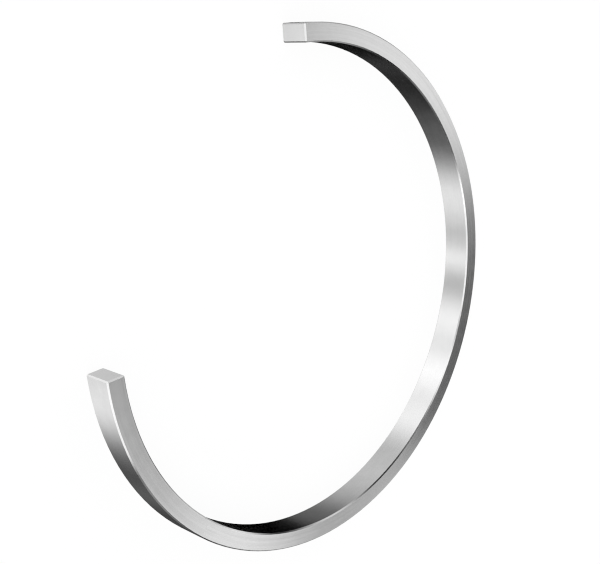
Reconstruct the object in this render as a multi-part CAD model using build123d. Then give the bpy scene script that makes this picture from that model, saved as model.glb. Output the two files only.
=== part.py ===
from build123d import *
import os

# Locating ring for a bearing housing: one open ring, bent or turned from a
# solid steel bar of rectangular section, with its two ends cut square.
# Millimetres. The ring lies flat: +Z is its axis, the origin is on that axis
# halfway between the two side faces, and the opening is centred on +Y.

OUTSIDE_D = 170.0    # outer wall, which drops into the housing seat
WIDTH = 10.0         # between the two side faces, along the axis
THICKNESS = 5.9      # radial, from the inner wall to the outer wall
OPENING_DEG = 91.0   # angle between the two end faces, seen from the axis
CHAMFER = 0.4        # every edge is broken by this much, at 45 degrees

OUTER_R = OUTSIDE_D / 2
INNER_R = OUTER_R - THICKNESS
MEAN_R = (OUTER_R + INNER_R) / 2
ARC_DEG = 360.0 - OPENING_DEG

os.makedirs("parts", exist_ok=True)

# The section stands on the XZ plane, centred on Z = 0, and goes round the axis.
with BuildPart() as ring:
    with BuildSketch(Plane.XZ) as section:
        with Locations((MEAN_R, 0)):
            Rectangle(THICKNESS, WIDTH)
    revolve(axis=Axis.Z, revolution_arc=ARC_DEG)
    # the four long edges and the four round each end face are all broken alike
    chamfer(ring.edges(), length=CHAMFER)

body = ring.part.solids()[0]

# Turn the ring about its axis until the middle of its arc is on -Y, so that
# the opening is centred on +Y.
middle = body.center(CenterOf.MASS)
at = Vector(1, 0, 0).get_signed_angle(Vector(middle.X, middle.Y, 0), Vector(0, 0, 1))
locating_ring = body.rotate(Axis.Z, -90.0 - at)
locating_ring.label = "locating_ring"

export_step(locating_ring, "parts/locating_ring.step")

box = locating_ring.bounding_box()
print("size", round(box.size.X, 3), round(box.size.Y, 3), round(box.size.Z, 3))
print("centre of mass", locating_ring.center(CenterOf.MASS))
print("volume", round(locating_ring.volume, 1), "mm3")
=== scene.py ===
import math

import bpy
from mathutils import Matrix, Vector

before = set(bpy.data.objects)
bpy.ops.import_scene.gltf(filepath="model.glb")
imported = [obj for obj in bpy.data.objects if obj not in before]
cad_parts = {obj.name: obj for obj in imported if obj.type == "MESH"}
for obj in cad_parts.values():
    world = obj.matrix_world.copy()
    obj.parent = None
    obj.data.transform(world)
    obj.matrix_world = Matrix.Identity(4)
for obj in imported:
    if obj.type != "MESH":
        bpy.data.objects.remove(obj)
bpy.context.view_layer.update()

# ---------------------------------------------------------------- dimensions
# metres, in the part's own frame: +Z is the ring's axis, the opening is on +Y
OUTER_R = 0.0850
INNER_R = 0.0791
HALF_W = 0.0050
CHAMFER = 0.0004

# the steel: how bright it is on its flats, how bright the painted highlight on its edges is, how rough,
# how much the lay stretches its highlights, and how deep the tool lines are
STEEL = 0.75
EDGE_HIGHLIGHT_STEEL = 0.95
STREAK_SHADE = 0.24
CLOUD_SHADE = 0.12
ROUGH = 0.212
GRAIN = 0.764
RELIEF = 0.00001

BLACK_POINT = 0.005
WHITE_POINT = 0.985

scene = bpy.context.scene
scene.view_settings.view_transform = "Standard"
scene.view_settings.look = "None"
# black and white points: the deepest shade is black and the bare floor white
scene.view_settings.use_curve_mapping = True
levels = scene.view_settings.curve_mapping
levels.black_level = (BLACK_POINT, BLACK_POINT, BLACK_POINT)
levels.white_level = (WHITE_POINT, WHITE_POINT, WHITE_POINT)
levels.update()
# as crisp as the photograph
scene.cycles.filter_width = 1.2


# ------------------------------------------------------------- node shorthand
class Nodes:
    """Short calls for building a node tree."""

    def __init__(self, tree):
        self.tree = tree
        self.n = tree.nodes
        self.n.clear()

    def add(self, kind, **settings):
        node = self.n.new(kind)
        for key, value in settings.items():
            setattr(node, key, value)
        return node

    def put(self, socket, value):
        if isinstance(value, bpy.types.NodeSocket):
            self.tree.links.new(value, socket)
        else:
            socket.default_value = value

    def math(self, op, a, b=0.0, c=0.0, clamp=False):
        node = self.add("ShaderNodeMath", operation=op, use_clamp=clamp)
        for socket, value in zip(node.inputs, (a, b, c)):
            self.put(socket, value)
        return node.outputs[0]

    def vec(self, op, a, b=(0.0, 0.0, 0.0), scale=None):
        node = self.add("ShaderNodeVectorMath", operation=op)
        self.put(node.inputs[0], a)
        if op not in ("NORMALIZE", "LENGTH"):
            self.put(node.inputs[1], b)
        if scale is not None:
            self.put(node.inputs["Scale"], scale)
        return node.outputs["Value" if op in ("DOT_PRODUCT", "LENGTH") else "Vector"]

    def xyz(self, x, y, z):
        node = self.add("ShaderNodeCombineXYZ")
        for socket, value in zip(node.inputs, (x, y, z)):
            self.put(socket, value)
        return node.outputs[0]

    def split(self, v):
        node = self.add("ShaderNodeSeparateXYZ")
        self.put(node.inputs[0], v)
        return node.outputs

    def noise(self, v, scale, detail=2.0, rough=0.5, dims="3D"):
        node = self.add("ShaderNodeTexNoise", noise_dimensions=dims)
        if dims == "1D":
            self.put(node.inputs["W"], v)
        else:
            self.put(node.inputs["Vector"], v)
        node.inputs["Scale"].default_value = scale
        node.inputs["Detail"].default_value = detail
        node.inputs["Roughness"].default_value = rough
        return node.outputs["Fac"]

    def ramp(self, fac, *stops):
        node = self.add("ShaderNodeMapRange")
        self.put(node.inputs["Value"], fac)
        for name, value in zip(("From Min", "From Max", "To Min", "To Max"), stops):
            self.put(node.inputs[name], value)
        return node.outputs[0]


# ------------------------------------------------------------------ material
def turned_steel():
    """Bright steel with the fine lay of turning round both walls and both side faces, a plain ground lay
    across the two cut ends, and a painted highlight, a lighter base colour, on the broken edges and a thin
    band beside them."""
    mat = bpy.data.materials.new("turned_steel")
    mat.use_nodes = True
    t = Nodes(mat.node_tree)
    out = t.add("ShaderNodeOutputMaterial")
    steel = t.add("ShaderNodeBsdfPrincipled")
    t.put(out.inputs["Surface"], steel.outputs[0])

    place = t.add("ShaderNodeTexCoord").outputs["Object"]
    x, y, z = t.split(place)[0], t.split(place)[1], t.split(place)[2]
    normal = t.add("ShaderNodeNewGeometry").outputs["Normal"]
    radius = t.math("SQRT", t.math("MULTIPLY_ADD", x, x, t.math("MULTIPLY", y, y)))

    # directions round the ring, outward and along the axis, and how far the
    # surface faces each of them
    outward = t.vec("NORMALIZE", t.xyz(x, y, 0.0))
    round_ring = t.vec("NORMALIZE", t.xyz(t.math("MULTIPLY", y, -1.0), x, 0.0))
    wall_share = t.math("ABSOLUTE", t.vec("DOT_PRODUCT", normal, outward))
    end_share = t.math("ABSOLUTE", t.vec("DOT_PRODUCT", normal, round_ring))
    face_share = t.math("ABSOLUTE", t.split(normal)[2])
    is_end = t.ramp(end_share, 0.62, 0.80, 0.0, 1.0)
    is_face = t.ramp(face_share, 0.75, 0.95, 0.0, 1.0)

    # the lay runs round the ring, so the wider lobe lies across it
    across = t.vec("NORMALIZE", t.vec("CROSS_PRODUCT", normal, round_ring))
    mix = t.add("ShaderNodeMix", data_type="VECTOR")
    t.put(mix.inputs["Factor"], is_end)
    t.put(mix.inputs[4], across)
    mix.inputs[5].default_value = (0.0, 0.0, 1.0)
    t.put(steel.inputs["Tangent"], mix.outputs[1])

    # tool lay: lines round the ring, spaced in radius on the faces and in z on
    # the walls, drawn out a long way round the circle; on the ends the lines
    # run straight across the bar
    angle = t.math("ARCTAN2", y, x)
    across_bar = t.math("MULTIPLY", radius, t.ramp(is_end, 0.0, 1.0, 1.0, 0.06))
    lay = t.xyz(across_bar, z, t.math("MULTIPLY", angle, 0.0012))
    fine = t.noise(lay, 7000.0, 2.0, 0.6)
    streak = t.noise(lay, 1500.0, 2.0, 0.55)
    cloud = t.noise(place, 260.0, 3.0, 0.55)

    # the chamfers, and a thin uneven band beside them, which get a painted highlight: a lighter base
    # colour that stands in for the bright edge lines
    flat = t.math("MULTIPLY_ADD", t.math("POWER", wall_share, 4.0), 1.0,
                  t.math("ADD", t.math("POWER", end_share, 4.0), t.math("POWER", face_share, 4.0)))
    on_chamfer = t.ramp(flat, 0.88, 0.60, 0.0, 1.0)
    from_outer = t.math("SUBTRACT", OUTER_R - CHAMFER, radius)
    from_inner = t.math("SUBTRACT", radius, INNER_R + CHAMFER)
    from_face = t.math("SUBTRACT", HALF_W - CHAMFER, t.math("ABSOLUTE", z))
    on_face = t.math("MINIMUM", from_outer, from_inner)
    gap = t.math("MULTIPLY_ADD", is_face, t.math("SUBTRACT", on_face, from_face), from_face)
    uneven = t.noise(place, 900.0, 2.0, 0.5)
    gap = t.math("ADD", gap, t.math("MULTIPLY_ADD", uneven, 0.0004, -0.0002))
    # painted highlight mask: the chamfers and a thin band beside them
    painted_edge_highlight = t.math("MAXIMUM", on_chamfer, t.ramp(gap, 0.0, 0.00025, 0.30, 0.0))

    # colour: neutral steel, a little lighter and darker along the lay, and lighter on the chamfers and the
    # band beside them as a painted highlight
    streak_shade = t.math("MULTIPLY", t.math("SUBTRACT", streak, 0.5), t.ramp(is_face, 0.0, 1.0, 0.3, 1.0))
    shade = t.math("MULTIPLY_ADD", t.math("SUBTRACT", cloud, 0.5), CLOUD_SHADE, STEEL)
    body = t.math("MULTIPLY_ADD", streak_shade, STREAK_SHADE, shade)
    value = t.math("MULTIPLY_ADD", painted_edge_highlight, t.math("SUBTRACT", EDGE_HIGHLIGHT_STEEL, body), body)
    tone = t.add("ShaderNodeCombineColor")
    for socket in tone.inputs:
        t.put(socket, value)
    t.put(steel.inputs["Base Color"], tone.outputs[0])
    steel.inputs["Metallic"].default_value = 1.0
    rough = t.math("ADD", t.math("MULTIPLY", streak, 0.04), t.math("MULTIPLY", cloud, 0.03))
    t.put(steel.inputs["Roughness"], t.math("ADD", rough, ROUGH - 0.035))
    steel.inputs["Anisotropic"].default_value = GRAIN

    # relief: shallow tool lines the eye can make out, and finer ones on them
    line_depth = t.ramp(is_face, 0.0, 1.0, 0.35, 1.3)
    height = t.math("MULTIPLY", t.math("MULTIPLY_ADD", fine, 0.18, streak), line_depth)
    bump = t.add("ShaderNodeBump")
    bump.inputs["Strength"].default_value = 0.8
    bump.inputs["Distance"].default_value = RELIEF
    t.put(bump.inputs["Height"], height)
    t.put(steel.inputs["Normal"], bump.outputs[0])
    return mat


# ---------------------------------------------------------------------- ring
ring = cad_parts["locating_ring"]
ring.material_slots[0].material = turned_steel()

# --------------------------------------------------------------------- floor
def make_floor():
    """A wide pale floor that curves up far away, so no horizon line shows."""
    verts, faces = [], []
    turns = 96
    profile = [(0.0, 0.0), (0.3, 0.0), (1.0, 0.0), (2.5, 0.0)]
    for k in range(1, 13):
        a = math.radians(90.0 * k / 12)
        profile.append((2.5 + 1.5 * math.sin(a), 1.5 * (1 - math.cos(a))))
    profile.append((4.0, 4.0))
    verts.append((0.0, 0.0, -HALF_W))
    for r, h in profile[1:]:
        for i in range(turns):
            a = 2 * math.pi * i / turns
            verts.append((r * math.cos(a), r * math.sin(a), h - HALF_W))
    for i in range(turns):
        faces.append((0, 1 + i, 1 + (i + 1) % turns))
    for k in range(len(profile) - 2):
        for i in range(turns):
            a, b = 1 + k * turns + i, 1 + k * turns + (i + 1) % turns
            faces.append((a, a + turns, b + turns, b))
    mesh = bpy.data.meshes.new("floor")
    mesh.from_pydata(verts, [], faces)
    for p in mesh.polygons:
        p.use_smooth = True
    floor = bpy.data.objects.new("floor", mesh)
    scene.collection.objects.link(floor)
    mat = bpy.data.materials.new("floor_paper")
    mat.use_nodes = True
    t = Nodes(mat.node_tree)
    out = t.add("ShaderNodeOutputMaterial")
    paper = t.add("ShaderNodeBsdfDiffuse")
    paper.inputs["Color"].default_value = (0.10, 0.10, 0.10, 1.0)
    glow = t.add("ShaderNodeEmission")
    glow.inputs["Color"].default_value = (1.0, 1.0, 1.0, 1.0)
    glow.inputs["Strength"].default_value = 0.91
    both = t.add("ShaderNodeAddShader")
    t.put(both.inputs[0], paper.outputs[0])
    t.put(both.inputs[1], glow.outputs[0])
    t.put(out.inputs["Surface"], both.outputs[0])
    mesh.materials.append(mat)
    floor.visible_glossy = False
    return floor


make_floor()

# --------------------------------------------------------------------- light
# Soft studio light: soft-edged panels round the ring, each given as azimuth,
# elevation and half width in degrees, and strength. A negative strength is a
# dark card, which takes light away from the even light of the room.
PANELS = [
    (-95.0, 39.2, 4.9, 1.82), (-60.9, 41.3, 9.8, 1.38), (85.4, -35.0, 8.0, 1.18),
    (-23.4, -8.8, 20.8, -1.50), (-169.3, -40.5, 10.7, -0.86), (-0.3, -47.5, 4.5, 0.49),
    (-164.4, -56.5, 5.1, 0.95), (-65.9, 31.4, 4.9, -1.49), (56.7, -36.8, 8.0, 1.37),
    (141.5, -38.1, 4.5, 1.50), (1.5, 20.3, 10.8, 0.78), (178.1, -40.3, 11.6, 1.28),
    (179.2, 38.1, 7.1, 1.61), (47.6, 71.7, 36.7, 1.33), (-37.7, 10.2, 5.4, 1.34),
    (-165.4, 31.7, 10.9, -1.31), (26.0, 39.0, 12.6, -0.75), (-82.5, 29.5, 4.5, 1.28),
    (-43.1, -33.4, 6.5, -1.44), (-105.8, 20.1, 16.9, -0.61), (-71.6, -43.3, 8.2, -1.15),
    (112.2, -35.0, 7.5, 1.15), (-74.6, 28.9, 4.5, -1.49), (107.5, 50.3, 4.8, -1.50),
    (-110.6, -27.1, 7.9, 1.12), (-88.9, 13.6, 10.7, 0.68), (-43.7, 49.0, 4.7, -0.87),
    (-109.9, -28.8, 9.7, -1.22), (4.0, 64.3, 25.8, -1.14), (-12.3, -3.8, 9.9, 1.11),
    (-73.4, -49.2, 4.5, 1.74), (-66.5, 47.2, 6.1, -1.50), (49.3, -46.7, 8.0, -1.50),
    (30.3, -55.6, 20.4, 0.65), (56.1, 49.2, 7.0, -0.76), (-24.4, -5.7, 4.5, 0.90),
    (-169.1, 21.4, 7.0, 1.74), (-131.9, -55.5, 4.5, -0.56), (159.8, 11.7, 14.9, 0.46),
    (-136.1, -35.0, 8.4, -0.27), (-166.2, 17.9, 4.5, -1.28), (-137.8, 1.0, 11.6, -0.30),
    (-43.9, -16.3, 13.9, 1.49), (-14.8, -23.7, 5.9, 0.63), (-53.9, -19.1, 9.1, -0.39),
    (-88.8, 34.0, 4.5, -1.02), (94.7, 5.9, 12.0, 0.51), (-85.8, 22.4, 4.6, -0.44),
    (-73.1, 29.9, 7.0, -0.18), (-91.0, -1.8, 5.1, -0.35), (-98.6, 44.6, 4.6, -0.41),
    (-107.8, -52.8, 4.6, -0.31), (-135.8, 34.4, 4.5, -0.13), (10.7, 68.4, 4.8, -0.34),
    (-134.3, 35.6, 6.4, -0.14), (-62.6, -16.2, 8.0, -0.49),
]
AMBIENT = 0.35


def make_world():
    world = bpy.data.worlds.new("studio")
    scene.world = world
    world.use_nodes = True
    t = Nodes(world.node_tree)
    out = t.add("ShaderNodeOutputWorld")
    sky = t.add("ShaderNodeBackground")
    direction = t.add("ShaderNodeTexCoord").outputs["Generated"]
    total = AMBIENT
    for azimuth, elevation, width, strength in PANELS:
        a, e = math.radians(azimuth), math.radians(elevation)
        aim = (math.cos(e) * math.cos(a), math.cos(e) * math.sin(a), math.sin(e))
        k = 1.0 / math.radians(width) ** 2
        near = t.vec("DOT_PRODUCT", direction, aim)
        soft = t.math("EXPONENT", t.math("MULTIPLY_ADD", near, k, -k))
        total = t.math("MULTIPLY_ADD", soft, strength, total)
    total = t.math("MAXIMUM", total, 0.0)
    sky.inputs["Color"].default_value = (1.0, 1.0, 1.0, 1.0)
    t.put(sky.inputs["Strength"], total)
    t.put(out.inputs["Surface"], sky.outputs[0])


make_world()

# -------------------------------------------------------------------- camera
camera_data = bpy.data.cameras.new("camera")
camera_data.sensor_fit = "HORIZONTAL"
camera_data.sensor_width = 36.0
camera_data.lens = 61.587
camera_data.clip_start = 0.01
camera_data.clip_end = 50.0
camera = bpy.data.objects.new("camera", camera_data)
scene.collection.objects.link(camera)
camera.matrix_world = Matrix((
    (0.43697885, 0.85960820, -0.26480788, -0.08766185),
    (-0.54543342, 0.48733687, 0.68191287, 0.23144505),
    (0.71522854, -0.15354643, 0.68181495, 0.22463194),
    (0.0, 0.0, 0.0, 1.0),
))
scene.camera = camera
